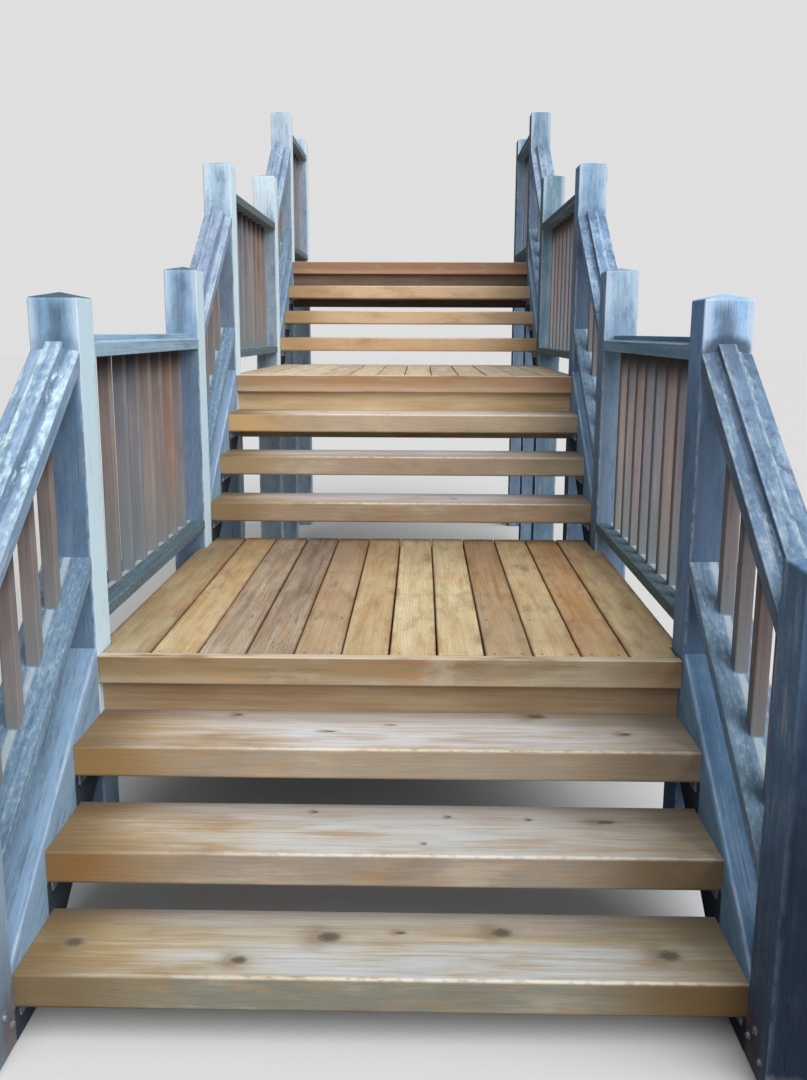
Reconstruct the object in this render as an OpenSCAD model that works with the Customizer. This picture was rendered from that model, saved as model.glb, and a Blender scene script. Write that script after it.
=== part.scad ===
// Outdoor timber stairs: three short flights of thick plank treads with open risers,
// two landings between them and one at the top, closed in by post and rail fencing.
// X is across the stairs, Y runs up them from the foot, Z is up from the ground.

/* [Stairs] */
// Height from one tread to the next
rise = 181; // [165:1:190]
// Distance from one tread's front to the next
run = 250; // [240:1:280]
// Clear width between the stringers and between the posts
clear_w = 1731; // [1400:1:1800]
// Distance from a landing's front edge to the front of the next flight
landing_len = 1710; // [1300:5:2000]
// Depth of the top landing
top_landing_len = 1200; // [900:5:1800]

/* [Planks] */
// Thickness of a tread plank
tread_t = 89; // [60:1:100]
// Width of a tread plank, front to back
tread_w = 286; // [270:1:300]
// Rounding of a tread's front corners
tread_ease = 9; // [2:1:20]
// Room left at each end of a tread
tread_play = 0.5; // [0.3:0.1:3]
// Thickness of a stringer plank
stringer_t = 89; // [38:1:110]
// Width of a stringer plank, measured square to its slope
stringer_w = 286; // [280:1:340]
// Height of a stringer's top edge above the line of the tread fronts, measured plumb
stringer_over = 27; // [5:1:40]

/* [Steel angles under the treads] */
// Width of each leg
angle_leg = 38; // [25:1:50]
// Thickness of the steel
angle_t = 5; // [3:0.5:8]
// Length along the tread
angle_len = 230; // [150:1:250]
// Distance of the angle behind the tread's front
angle_setback = 28; // [10:1:40]

/* [Landings] */
// Thickness of the framing boards and the deck boards
board_t = 38; // [25:1:50]
// Width of a deck board
deck_board_w = 140; // [90:1:185]
// Number of deck boards across a landing
deck_boards = 12; // [6:1:12]
// Height of the edge board that closes a landing's front
edge_board_h = 86; // [60:1:140]
// Height of the front beam behind the edge board
fascia_h = 286; // [180:1:320]
// Height of the other framing boards
joist_h = 235; // [140:1:286]
// Distance from joist to joist
joist_pitch = 406; // [300:1:610]
// How far a deck runs in under the next flight's first tread
deck_under = 85; // [50:1:150]
// How far the outer deck boards reach out under the lower rails, between the posts
deck_overhang = 28; // [10:1:50]
// Room left round the notches and at the joists' ends
fit_play = 0.3; // [0.2:0.1:2]

/* [Posts] */
// Width of a post
post_w = 140; // [90:1:180]
// Distance of a foot post's front ahead of its flight's first tread
foot_post_lead = 140; // [140:1:220]
// Height of a foot post above the ground or landing that it rises from
foot_post_h = 1200; // [1150:5:1400]
// Height of a head post above the landing's handrail
head_post_over = 103; // [60:1:300]
// Height of the low pyramid that a post's top is cut to
post_peak = 16; // [5:1:60]

/* [Rails] */
// Width of the handrail
handrail_w = 140; // [90:1:184]
// Thickness of the handrail at its raised middle
handrail_t = 64; // [50:1:80]
// Height of the handrail's side faces
handrail_edge_h = 42; // [25:1:45]
// Width of the handrail's raised middle
handrail_bead_w = 50; // [20:1:80]
// Height of the raised middle above the shoulders
handrail_bead_h = 15; // [3:1:18]
// Height of the handrail's top over a landing
guard_h = 934; // [850:1:980]
// Height of a sloping handrail's top over the line of the tread fronts, measured plumb
stair_rail_h = 817; // [780:1:900]
// The same height in the first flight
first_rail_h = 917; // [800:1:950]
// Width of the lower rail
low_rail_w = 140; // [60:1:140]
// Thickness of the lower rail
low_rail_t = 38; // [25:1:50]
// Gap under a landing's lower rail
low_rail_gap = 84; // [50:1:120]
// Height of a sloping lower rail's underside over the line of the tread fronts
stair_low_rail = 193; // [100:1:250]
// The same height in the first flight
first_low_rail = 253; // [150:1:300]
// Width of a baluster
baluster_w = 38; // [25:1:90]
// Widest clear space between balusters
baluster_gap = 130; // [100:1:150]

/* [Hidden] */
$fn = 32;
FLIGHTS = [0, 1, 2];
TREADS = [0, 1, 2];
risers = len(TREADS) + 1;
slope = rise / run;
slope_angle = atan(slope);
top = len(FLIGHTS) - 1;
total_len = foot_post_lead + len(FLIGHTS) * len(TREADS) * run + 2 * landing_len + top_landing_len;
half_w = clear_w / 2;
front_y = -total_len / 2;
deck_gap = (clear_w - deck_boards * deck_board_w) / (deck_boards + 1);
stringer_plumb = stringer_w / cos(slope_angle);
low_rail_plumb = low_rail_t / cos(slope_angle);

WOOD = [0.74, 0.58, 0.42];
WEATHERED = [0.60, 0.64, 0.70];
STEEL = [0.55, 0.57, 0.60];

// Where things stand
function flight_y(i) = front_y + foot_post_lead + i * (len(TREADS) * run + landing_len);
function flight_z(i) = i * risers * rise;
function landing_y(i) = flight_y(i) + len(TREADS) * run;
function landing_z(i) = flight_z(i) + risers * rise;
function foot_post_y(i) = flight_y(i) - foot_post_lead;
function deck_end(i) = i < top ? flight_y(i + 1) + deck_under : landing_y(top) + top_landing_len;
function rear_post_y(i) = i < top ? foot_post_y(i + 1) : deck_end(top) - post_w;
function nosing_z(i, y) = flight_z(i) + rise + (y - flight_y(i)) * slope;
function rail_h(i) = i == FLIGHTS[0] ? first_rail_h : stair_rail_h;
function low_rail(i) = i == FLIGHTS[0] ? first_low_rail : stair_low_rail;

// A flat shape drawn as [y, z] and given a thickness across the stairs
module across(from_x, thickness) {
    translate([from_x, 0, 0])
        rotate([90, 0, 90])
            linear_extrude(thickness)
                children();
}

module both_sides() {
    children();
    mirror([1, 0, 0])
        children();
}

// A board between two plumb cuts whose top and bottom run with the stairs
module raking(i, from_y, to_y, top_over, plumb, from_x, thickness) {
    across(from_x, thickness)
        polygon([
            [from_y, nosing_z(i, from_y) + top_over - plumb],
            [to_y, nosing_z(i, to_y) + top_over - plumb],
            [to_y, nosing_z(i, to_y) + top_over],
            [from_y, nosing_z(i, from_y) + top_over]
        ]);
}

module tread(i, t) {
    length = clear_w - 2 * tread_play;
    color(WOOD)
        translate([0, flight_y(i) + t * run, flight_z(i) + (t + 1) * rise - tread_t])
            across(-length / 2, length)
                union() {
                    translate([tread_ease, 0])
                        square([tread_w - tread_ease, tread_t]);
                    translate([0, tread_ease])
                        square([tread_ease, tread_t - 2 * tread_ease]);
                    translate([tread_ease, tread_ease])
                        circle(tread_ease);
                    translate([tread_ease, tread_t - tread_ease])
                        circle(tread_ease);
                }
}

// A stringer stands against the back of its foot post and the front of its head post
module stringers(i) {
    from_y = foot_post_y(i) + post_w;
    to_y = landing_y(i);
    color(WEATHERED)
        both_sides()
            intersection() {
                raking(i, from_y, to_y, stringer_over, stringer_plumb, half_w, stringer_t);
                translate([half_w, from_y, 0])
                    cube([stringer_t, to_y - from_y, landing_z(i) + rise]);
            }
}

module tread_angles() {
    color(STEEL)
        for (i = FLIGHTS, t = TREADS)
            both_sides()
                translate([half_w, flight_y(i) + t * run + angle_setback, flight_z(i) + (t + 1) * rise - tread_t]) {
                    translate([-angle_t, 0, -angle_leg])
                        cube([angle_t, angle_len, angle_leg]);
                    translate([-angle_leg, 0, -angle_t])
                        cube([angle_leg, angle_len, angle_t]);
                }
}

// The outer boards are wider between the posts, and notched round them
module deck(i) {
    from_y = landing_y(i) + board_t;
    bay_y = landing_y(i) + post_w + fit_play;
    color(WOOD)
        translate([0, 0, landing_z(i) - board_t]) {
            for (b = [0 : deck_boards - 1])
                translate([deck_gap - half_w + b * (deck_board_w + deck_gap), from_y, 0])
                    cube([deck_board_w, deck_end(i) - from_y, board_t]);
            both_sides()
                translate([half_w - deck_board_w, bay_y, 0])
                    cube([deck_board_w + deck_overhang, rear_post_y(i) - fit_play - bay_y, board_t]);
        }
}

module edge_board(i) {
    color(WOOD)
        translate([-half_w, landing_y(i), landing_z(i) - edge_board_h])
            cube([clear_w, board_t, edge_board_h]);
}

module front_beam(i) {
    color(WOOD)
        translate([-half_w, landing_y(i) + board_t, landing_z(i) - board_t - fascia_h])
            cube([clear_w, board_t, fascia_h]);
}

// Two side boards on the posts' inner faces, with joists and a rear beam between them
module landing_frame(i) {
    from_y = landing_y(i) + 2 * board_t;
    length = deck_end(i) - from_y;
    joists = ceil(length / joist_pitch) - 1;
    inner_w = clear_w - 2 * (board_t + fit_play);
    color(WEATHERED)
        translate([0, from_y, landing_z(i) - board_t - joist_h]) {
            both_sides()
                translate([half_w - board_t, 0, 0])
                    cube([board_t, length, joist_h]);
            for (j = [1 : joists + 1])
                translate([-inner_w / 2, j * (length - board_t) / (joists + 1), 0])
                    cube([inner_w, board_t, joist_h]);
        }
}

// A post from the ground up, its top cut to a low pyramid
module post(y, top_z) {
    for_slope = [[0, 0], [post_w, 0], [post_w, top_z], [post_w / 2, top_z + post_peak], [0, top_z]];
    translate([half_w, y, 0])
        intersection() {
            across(0, post_w)
                polygon(for_slope);
            translate([0, post_w, 0])
                rotate([90, 0, 0])
                    linear_extrude(post_w)
                        polygon(for_slope);
        }
}

module foot_posts(i) {
    color(WEATHERED)
        both_sides()
            post(foot_post_y(i), flight_z(i) + foot_post_h);
}

module head_posts(i) {
    color(WEATHERED)
        both_sides()
            post(landing_y(i), landing_z(i) + guard_h + head_post_over);
}

module rear_posts() {
    color(WEATHERED)
        both_sides()
            post(rear_post_y(top), landing_z(top) + guard_h + head_post_over);
}

// The handrail's section, drawn with its top at zero: a flat underside, plumb side faces,
// shoulders that fall outwards to shed rain, and a raised middle
module handrail_section() {
    edge_z = handrail_edge_h - handrail_t;
    bead_x = (handrail_w - handrail_bead_w) / 2;
    polygon([
        [0, -handrail_t],
        [handrail_w, -handrail_t],
        [handrail_w, edge_z],
        [handrail_w - bead_x, -handrail_bead_h],
        [handrail_w - bead_x, 0],
        [bead_x, 0],
        [bead_x, -handrail_bead_h],
        [0, edge_z]
    ]);
}

module flight_handrails(i) {
    from_y = foot_post_y(i) + post_w;
    to_y = landing_y(i);
    length = (to_y - from_y) / cos(slope_angle) + 4 * handrail_t;
    color(WEATHERED)
        both_sides()
            intersection() {
                translate([half_w, from_y, nosing_z(i, from_y) + rail_h(i)])
                    rotate([slope_angle, 0, 0])
                        translate([0, length - 2 * handrail_t, 0])
                            rotate([90, 0, 0])
                                linear_extrude(length)
                                    handrail_section();
                translate([half_w, from_y, 0])
                    cube([post_w + handrail_w, to_y - from_y, landing_z(i) + 2 * guard_h]);
            }
}

module landing_handrails(i) {
    from_y = landing_y(i) + post_w;
    to_y = rear_post_y(i);
    color(WEATHERED)
        both_sides()
            translate([half_w, to_y, landing_z(i) + guard_h])
                rotate([90, 0, 0])
                    linear_extrude(to_y - from_y)
                        handrail_section();
}

// Positions of balusters evenly spaced in a bay
function baluster_ys(from_y, to_y) =
    let (n = ceil((to_y - from_y - baluster_gap) / (baluster_w + baluster_gap)))
    let (gap = (to_y - from_y - n * baluster_w) / (n + 1))
    [for (k = [0 : n - 1]) from_y + gap + k * (baluster_w + gap)];

module flight_balusters(i) {
    from_y = foot_post_y(i) + post_w;
    to_y = landing_y(i);
    under_rail = rail_h(i) - handrail_t / cos(slope_angle);
    color(WEATHERED)
        both_sides() {
            raking(i, from_y, to_y, low_rail(i) + low_rail_plumb, low_rail_plumb,
                half_w + (post_w - low_rail_w) / 2, low_rail_w);
            for (y = baluster_ys(from_y, to_y))
                raking(i, y, y + baluster_w, under_rail, under_rail - low_rail(i),
                    half_w + (post_w - baluster_w) / 2, baluster_w);
        }
}

module landing_balusters(i) {
    from_y = landing_y(i) + post_w;
    to_y = rear_post_y(i);
    under_rail = guard_h - handrail_t;
    color(WEATHERED)
        both_sides() {
            translate([half_w + (post_w - low_rail_w) / 2, from_y, landing_z(i) + low_rail_gap])
                cube([low_rail_w, to_y - from_y, low_rail_t]);
            for (y = baluster_ys(from_y, to_y))
                translate([half_w + (post_w - baluster_w) / 2, y, landing_z(i) + low_rail_gap])
                    cube([baluster_w, baluster_w, under_rail - low_rail_gap]);
        }
}

for (i = FLIGHTS, t = TREADS)
    tread(i, t);
for (i = FLIGHTS) {
    stringers(i);
    foot_posts(i);
    head_posts(i);
    flight_handrails(i);
    flight_balusters(i);
    deck(i);
    edge_board(i);
    front_beam(i);
    landing_frame(i);
    landing_handrails(i);
    landing_balusters(i);
}
tread_angles();
rear_posts();
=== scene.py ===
import math
import random

import bmesh
import bpy
from mathutils import Matrix, Vector


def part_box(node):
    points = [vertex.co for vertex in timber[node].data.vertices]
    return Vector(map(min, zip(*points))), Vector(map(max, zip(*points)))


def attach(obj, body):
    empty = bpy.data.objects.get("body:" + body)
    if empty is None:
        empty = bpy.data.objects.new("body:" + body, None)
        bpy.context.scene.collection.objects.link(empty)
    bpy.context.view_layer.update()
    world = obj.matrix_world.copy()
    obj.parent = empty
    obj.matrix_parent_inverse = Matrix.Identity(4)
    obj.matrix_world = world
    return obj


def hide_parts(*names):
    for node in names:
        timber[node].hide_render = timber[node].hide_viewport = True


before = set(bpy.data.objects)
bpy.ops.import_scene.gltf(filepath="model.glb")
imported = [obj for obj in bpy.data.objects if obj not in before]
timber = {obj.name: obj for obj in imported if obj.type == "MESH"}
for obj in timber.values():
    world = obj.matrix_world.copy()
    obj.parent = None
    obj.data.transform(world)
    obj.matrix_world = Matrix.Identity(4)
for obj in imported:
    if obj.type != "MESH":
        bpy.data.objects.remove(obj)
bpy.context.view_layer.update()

# Posts. Square cedar posts stand on their lower ends and run up past the rails, and each is
# cut to a low peak that sheds rain. Their faces have gone silver grey, dark at the end grain
# and where a rail brings water, and the feet of the first pair stay damp and brown.
clear_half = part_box("flight_1_tread_1")[1].x
post_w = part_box("flight_1_foot_posts")[1].x - clear_half
post_line = clear_half + post_w / 2
run_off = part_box("flight_1_tread_2")[0].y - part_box("flight_1_tread_1")[0].y
step_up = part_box("flight_1_tread_2")[1].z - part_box("flight_1_tread_1")[1].z
pitch_angle = math.atan2(step_up, run_off)


def tone(red, green, blue):
    """A colour as it reads on a paint card, 0 to 255, for a shader."""
    def light(c):
        c /= 255
        return c / 12.92 if c <= 0.04045 else ((c + 0.055) / 1.055) ** 2.4
    return (light(red), light(green), light(blue), 1.0)


def add(tree, kind, feeds=(), out=0, **settings):
    """Adds a shader node and feeds its sockets in order; None leaves a socket alone."""
    made = tree.nodes.new("ShaderNode" + kind)
    for setting, value in settings.items():
        setattr(made, setting, value)
    for socket, value in zip(made.inputs, feeds):
        if isinstance(value, bpy.types.NodeSocket):
            tree.links.new(value, socket)
        elif value is not None:
            socket.default_value = value
    return made.outputs[out]


def tree_of(*values):
    """The tree of the first value that comes from a node."""
    return next(value for value in values if isinstance(value, bpy.types.NodeSocket)).id_data


def calc(operation, *values):
    return add(tree_of(*values), "Math", values, operation=operation)


def minus(a, b):
    return calc("SUBTRACT", a, b)


def plus(value, other, weight):
    """A value plus another, here mostly a noise, times its weight."""
    return calc("MULTIPLY_ADD", other, weight, value)


def apart(a, b):
    """How far a is from b, on either side."""
    return calc("ABSOLUTE", minus(a, b))


def hypotenuse(a, b):
    return calc("SQRT", calc("ADD", calc("MULTIPLY", a, a), calc("MULTIPLY", b, b)))


def mixture(*parts):
    """The sum of noises, each with its weight."""
    total = 0.0
    for noise, weight in parts:
        total = plus(total, noise, weight)
    return total


def share_of(amount, *masks):
    """An amount times any count of masks."""
    for mask in masks:
        amount = calc("MULTIPLY", mask, amount)
    return amount


def shift(operation, a, b):
    return add(tree_of(a, b), "VectorMath", [a, b], operation=operation)


def split(vector):
    """A vector's three parts."""
    return add(vector.id_data, "SeparateXYZ", [vector]).node.outputs


def fade(value, low, high):
    """0 below low and 1 above high; the other way round where low is the larger."""
    ends = (low, high, 0.0, 1.0) if low < high else (high, low, 1.0, 0.0)
    return add(value.id_data, "MapRange", [value, *ends], interpolation_type="SMOOTHSTEP")


def stain(colour, over, amount, *masks, how="MIX"):
    """A colour with another laid over it, as strong as the amount times its masks."""
    share = share_of(amount, *masks)
    feeds = [share, None, None, None, None, None, colour, over]
    return add(tree_of(share, colour, over), "Mix", feeds, 2, data_type="RGBA", blend_type=how)


def figure(spot, size, detail=3.0, rough=0.55, bend=0.0):
    """Noise whose patches are size = (x, y, z) metres across."""
    scaled = shift("MULTIPLY", spot, tuple(1 / s for s in size))
    return add(spot.id_data, "TexNoise", [scaled, None, 1.0, detail, rough, None, None, None, bend])


def grain_size(axis, across, length):
    """Patch size for noise that runs along a board's axis."""
    return tuple(length if name == axis else across for name in "xyz")


def slanted(spot):
    """Coordinates turned so that a sloping board's length lies along Y."""
    return add(spot.id_data, "VectorRotate", [spot, None, None, -pitch_angle], rotation_type="X_AXIS")


def facing(spot, axis="z"):
    """How far a face looks along an axis, from -1 to 1."""
    return split(add(spot.id_data, "NewGeometry", out=1))["xyz".index(axis)]


def outward(spot):
    """How far a face looks away from the stairs' middle, from -1 to 1."""
    return calc("MULTIPLY", facing(spot, "x"), calc("SIGN", split(spot)[0]))


def on_right(x):
    """0 on the left hand of the stairs and 1 on the right."""
    return fade(x, -0.2, 0.2)


def sided(right, pair):
    """A pair's first number on the left hand and its second on the right."""
    return plus(pair[0], right, pair[1] - pair[0])


def begin(name):
    """A new finish, and the object's own coordinates in it."""
    finish = bpy.data.materials.new(name)
    finish.use_nodes = True
    return finish, add(finish.node_tree, "TexCoord", out=3)


def end(finish, colour, relief, depth=0.0015, sheen=0.25, rough=0.85, metal=0.0):
    """Gives a finish its colour, its sheen, and a relief that is depth metres deep."""
    tree = finish.node_tree
    skin = tree.nodes["Principled BSDF"]
    skin.inputs["Roughness"].default_value = rough
    skin.inputs["Specular IOR Level"].default_value = sheen
    skin.inputs["Metallic"].default_value = metal
    tree.links.new(colour, skin.inputs["Base Color"])
    bump = tree.nodes.new("ShaderNodeBump")
    bump.inputs["Distance"].default_value = depth
    tree.links.new(relief, bump.inputs["Height"])
    tree.links.new(bump.outputs[0], skin.inputs["Normal"])
    return finish


SMOKE, SOOT, LICHEN, WET_BROWN = tone(76, 90, 110), tone(38, 42, 50), tone(206, 222, 214), tone(98, 72, 62)


def silvered(name, axis, deep, middle, pale, brown, own, reach=1.0, sloping=False):
    """Old cedar gone silver: soft clouds, faint streaks and a fine mottle of deep and pale, with a few
    checks. Middle is a pair of tones, for the left and the right hand; their blue is the cast of shade
    light, painted in. Faces that look out to the sides and the back are a plainer grey, without that
    painted cast. Own adds the timber's own marks."""
    finish, spot = begin(name)
    laid = slanted(spot) if sloping else spot
    cloud = figure(laid, grain_size(axis, 0.055, 0.15 * reach), 2.0)
    streak = figure(laid, grain_size(axis, 0.011, 0.4 * reach), 3.0, 0.5, 0.2)
    fibre = figure(laid, grain_size(axis, 0.0026, 0.08 * reach), 2.0)
    mottle = figure(laid, grain_size(axis, 0.010, 0.016 * reach), 5.0, 0.7)
    mixed = mixture((cloud, 0.46), (streak, 0.20), (fibre, 0.10), (mottle, 0.24))
    colour = stain(middle[0], middle[1], on_right(split(spot)[0]))
    colour = stain(colour, deep, 0.55, fade(mixed, 0.52, 0.36))
    colour = stain(colour, pale, 0.45, fade(mixed, 0.49, 0.64))
    drift = figure(laid, grain_size(axis, 0.04, 0.09 * reach), 4.0, 0.6)
    colour = stain(colour, SMOKE, 0.25, fade(drift, 0.53, 0.72))
    # Sides and backs lose the painted blue cast of shade light and go a plainer grey.
    plain_grey_sides = calc("MAXIMUM", fade(outward(spot), 0.3, 0.8), fade(facing(spot, "y"), 0.3, 0.8))
    colour = stain(colour, tone(148, 153, 157), 0.65, plain_grey_sides)
    warm = figure(laid, grain_size(axis, 0.05, 0.35 * reach), 4.0)
    colour = stain(colour, WET_BROWN, brown, fade(warm, 0.42, 0.6))
    check = figure(laid, grain_size(axis, 0.011, 0.6 * reach), 2.0, 0.4)
    crack = share_of(fade(apart(check, 0.47), 0.008, 0.002), fade(cloud, 0.48, 0.6))
    colour = stain(colour, SOOT, 0.35, crack)
    spots = figure(spot, (0.018, 0.018, 0.018), 5.0, 0.65)
    colour = own(spot, stain(colour, LICHEN, 0.1, fade(spots, 0.58, 0.7)))
    relief = mixture((streak, 0.8), (fibre, 0.4), (mottle, 0.3), (crack, -1.5))
    return end(finish, colour, relief, 0.0012)


def ease(node, width, rounds=3):
    """Rounds a timber's sawn arrises, as wear and rain do."""
    join = timber[node].modifiers.new("join", "WELD")
    join.merge_threshold = 0.00002
    soften = timber[node].modifiers.new("worn arrises", "BEVEL")
    soften.width, soften.segments = width, rounds
    soften.limit_method, soften.angle_limit = "ANGLE", math.radians(35)
    soften.harden_normals = False


def finish_node(node, finish):
    """Puts a finish on a timber from the frame."""
    slots = timber[node].data.materials
    slots.clear()
    slots.append(finish)


def first_post_marks(spot, colour, ahead, inner, inward, soft, ragged):
    """The right first post is dark all over, painted darker low down and on its front face as painted
    shade, and both have a damp foot, dusty at the very end; their front arrises are tinted blue grey, on
    the right post a painted highlight.
    """
    x, y, z = split(spot)
    right = on_right(x)
    # Painted shade: the right first post darkens low down, and more over its whole front face.
    level = minus(z, plus(0.15, ahead, 0.22))
    depth = fade(plus(level, soft, 0.3), 0.95, 0.28)
    colour = stain(colour, tone(62, 74, 96), 0.72, depth, right)
    colour = stain(colour, tone(98, 106, 116), plus(0.8, depth, 0.2), ahead, right, how="MULTIPLY")
    damp = figure(spot, (0.04, 0.04, 0.04), 4.0, 0.6)
    colour = stain(colour, tone(84, 102, 120), 0.6, fade(z, 0.42, 0.12), inner, minus(1.0, right))
    foot = fade(plus(minus(0.06, z), damp, 0.3), 0.05, 0.12)
    rear = fade(plus(minus(y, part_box("flight_1_foot_posts")[0].y), damp, 0.06), 0.08, 0.12)
    colour = stain(colour, tone(118, 82, 70), 0.6, foot, rear, inner)
    dust = fade(plus(minus(0.03, z), damp, 0.1), 0.02, 0.07)
    colour = stain(colour, tone(150, 144, 136), 0.35, dust)
    # Blue grey front arrises; on the dark right post a painted highlight.
    return stain(colour, tone(98, 112, 134), 0.3, fade(inward, 0.050, 0.068), fade(ragged, 0.3, 0.6), ahead)


def post_marks(row, runs, arch_share, dirty):
    """Marks on a row of posts: the front is painted darker downward as painted shade, a dark water run
    falls from the top, and smoke gathers in an arch round the rail's end. The left posts' inner faces are
    painted pale as painted light, the right posts' inner faces bluer and darker as painted shade, and the
    front arrises paler as painted highlights. Runs holds, for the left and the right post, how far the run
    is from the post's middle, how strong it is, and how dark the front's painted shade gets below the top
    and then lower down. Arch_share and dirty are how dark the arch and the top are, left and right."""
    low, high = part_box(row)
    run_at, run_share, dark_below, dark_low = zip(*runs)
    first = row == "flight_1_foot_posts"

    def paint(spot, colour):
        x, y, z = split(spot)
        right = on_right(x)
        over = apart(calc("ABSOLUTE", x), post_line)
        inward = calc("MINIMUM", over, apart(y, (low.y + high.y) / 2))
        ragged = figure(spot, (0.022, 0.022, 0.05), 4.0, 0.65)
        soft = figure(spot, (0.05, 0.05, 0.09), 3.0, 0.55)
        below = minus(high.z, z)
        ahead = fade(facing(spot, "y"), -0.3, -0.8)
        inner = fade(outward(spot), -0.3, -0.8)
        # Painted light: the left posts' inner faces are painted pale on their upper part, as if lit from
        # the right.
        inner_light_share = 0.3 if first else 0.88
        colour = stain(colour, tone(216, 242, 255), inner_light_share, inner, minus(1.0, right),
                       fade(below, 1.6, 1.25))
        if first:
            return first_post_marks(spot, colour, ahead, inner, inward, soft, ragged)
        # Painted shade: the right posts' inner faces are tinted bluer, and below they darken lower down.
        colour = stain(colour, tone(214, 232, 255), 1.0, inner, right, how="MULTIPLY")
        # Painted shade: the front is darker below the top, and darker still lower down.
        front_shade_below_top = fade(plus(minus(below, 0.08), soft, 0.16), 0.04, 0.40)
        colour = stain(colour, tone(98, 118, 150), sided(right, dark_below), front_shade_below_top, ahead)
        shaded = fade(plus(minus(below, 0.1), soft, 0.2), 0.22, 0.50)
        colour = stain(colour, tone(66, 82, 108), sided(right, dark_low), shaded, ahead)
        colour = stain(colour, tone(80, 96, 120), 0.5, front_shade_below_top, inner, right)
        # Painted highlight: paler arrises near the top of the front.
        colour = stain(colour, tone(214, 228, 242), 0.55, fade(inward, 0.036, 0.062),
                       fade(below, 0.30, 0.10), ahead)
        run_line = calc("MULTIPLY_ADD", calc("SIGN", x), post_line, sided(right, run_at))
        run = share_of(sided(right, run_share), fade(plus(apart(x, run_line), soft, 0.05), 0.074, 0.030))
        colour = stain(colour, SMOKE, run, fade(below, 0.0, 0.06), fade(below, 0.5, 0.2), ahead)
        if "head" in row:
            rail_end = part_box(row.replace("head_posts", "handrails"))[1].z
            rise = calc("DIVIDE", minus(z, rail_end - 0.025), 0.050)
            arch = hypotenuse(rise, calc("DIVIDE", over, 0.075))
            ring = fade(plus(arch, ragged, 0.5), 1.45, 0.95)
            colour = stain(colour, SMOKE, 0.9, ring, sided(right, arch_share), ahead)
        # Painted highlight: paler front arrises.
        colour = stain(colour, tone(214, 228, 240), 0.45, fade(inward, 0.058, 0.068),
                       fade(ragged, 0.35, 0.6), ahead)
        cap = calc("MAXIMUM", fade(plus(below, ragged, -0.02), 0.010, -0.004), fade(facing(spot), 0.3, 0.7))
        return stain(colour, SOOT, cap, sided(right, dirty))
    return paint


post_tones = {"flight_1_foot": (tone(104, 130, 158), tone(112, 150, 190)),
              "flight_1_head": (tone(142, 186, 218), tone(172, 214, 255)),
              "flight_2_foot": (tone(158, 192, 224), tone(172, 204, 232)),
              "flight_2_head": (tone(202, 232, 253), tone(160, 198, 234)),
              "flight_3_foot": (tone(222, 242, 253), tone(128, 166, 182)),
              "flight_3_head": (tone(196, 220, 238), tone(140, 172, 200)),
              "rear": (tone(196, 220, 238), tone(140, 172, 200))}
post_runs = {"flight_1_head": ((0.012, 0.7, 0.45, 0.4), (-0.006, 0.75, 0.5, 0.7)),
             "flight_2_foot": ((-0.004, 0.5, 0.5, 0.4), (0.0, 0.15, 0.55, 0.3)),
             "flight_2_head": ((0.008, 0.3, 0.25, 0.65), (0.004, 0.2, 0.4, 0.7)),
             "flight_3_foot": ((0.0, 0.05, 0.45, 0.3), (0.0, 0.1, 0.3, 0.3))}
plain_runs = ((0.0, 0.1, 0.3, 0.3), (0.0, 0.1, 0.3, 0.3))
post_arches = {"flight_1_head": (0.35, 1.0), "flight_2_head": (0.15, 0.3)}
post_tops = {"flight_1_head": (0.75, 0.1), "flight_2_foot": (0.6, 0.3)}
for name, tones in post_tones.items():
    row = name + "_posts"
    ease(row, 0.005)
    marks = post_marks(row, post_runs.get(name, plain_runs), post_arches.get(name, (0.1, 0.1)),
                       post_tops.get(name, (0.35, 0.35)))
    cedar = silvered(row + "_cedar", "z", tone(86, 104, 136), tones, tone(214, 224, 236), 0.06, marks)
    finish_node(row, cedar)

# Landing frames. Two side boards, joists and a rear beam of sawn timber carry each deck,
# and a deeper beam closes the front. The frames stay dark and brown under the decks, while the
# front beams were stained and show between the edge board and the tread below.


def shades(value, *stops):
    """Colours between stops, each a place from 0 to 1 and a colour."""
    ramp = add(value.id_data, "ValToRGB", [value])
    card = ramp.node.color_ramp.elements
    while len(card) < len(stops):
        card.new(0.5)
    for entry, (place, colour) in zip(card, stops):
        entry.position, entry.color = place, colour
    return ramp


def sawn_brown(name, pale, deep, axis="x"):
    """Sawn framing timber, brown, with streaks and fibres along the grain."""
    finish, spot = begin(name)
    streak = figure(spot, grain_size(axis, 0.012, 0.5), 4.0, 0.55, 0.3)
    broad = figure(spot, grain_size(axis, 0.07, 0.4), 3.0)
    fibre = figure(spot, grain_size(axis, 0.002, 0.1), 2.0)
    mixed = mixture((streak, 0.3), (broad, 0.55), (fibre, 0.15))
    colour = shades(mixed, (0.38, deep), (0.62, pale))
    return end(finish, colour, mixture((fibre, 0.5), (streak, 1.0)), 0.0012)


frame_brown = sawn_brown("landing_frame_timber", tone(116, 96, 80), tone(70, 58, 50), "y")
beam_shades = {1: (tone(166, 143, 114), tone(140, 114, 86)), 2: (tone(214, 190, 152), tone(186, 156, 116)),
               3: (tone(130, 109, 96), tone(100, 82, 72))}
for i, (pale, deep) in beam_shades.items():
    ease(f"landing_{i}_frame", 0.002, 2)
    finish_node(f"landing_{i}_frame", frame_brown)
    ease(f"landing_{i}_front_beam", 0.003, 2)
    finish_node(f"landing_{i}_front_beam", sawn_brown(f"landing_{i}_beam_timber", pale, deep))

# Stringers. A thick plank on each side of a flight, cut plumb where it meets the posts,
# carries the treads between its inner faces. Silver grey like the posts, with a pale top edge.
slope = step_up / run_off


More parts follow.
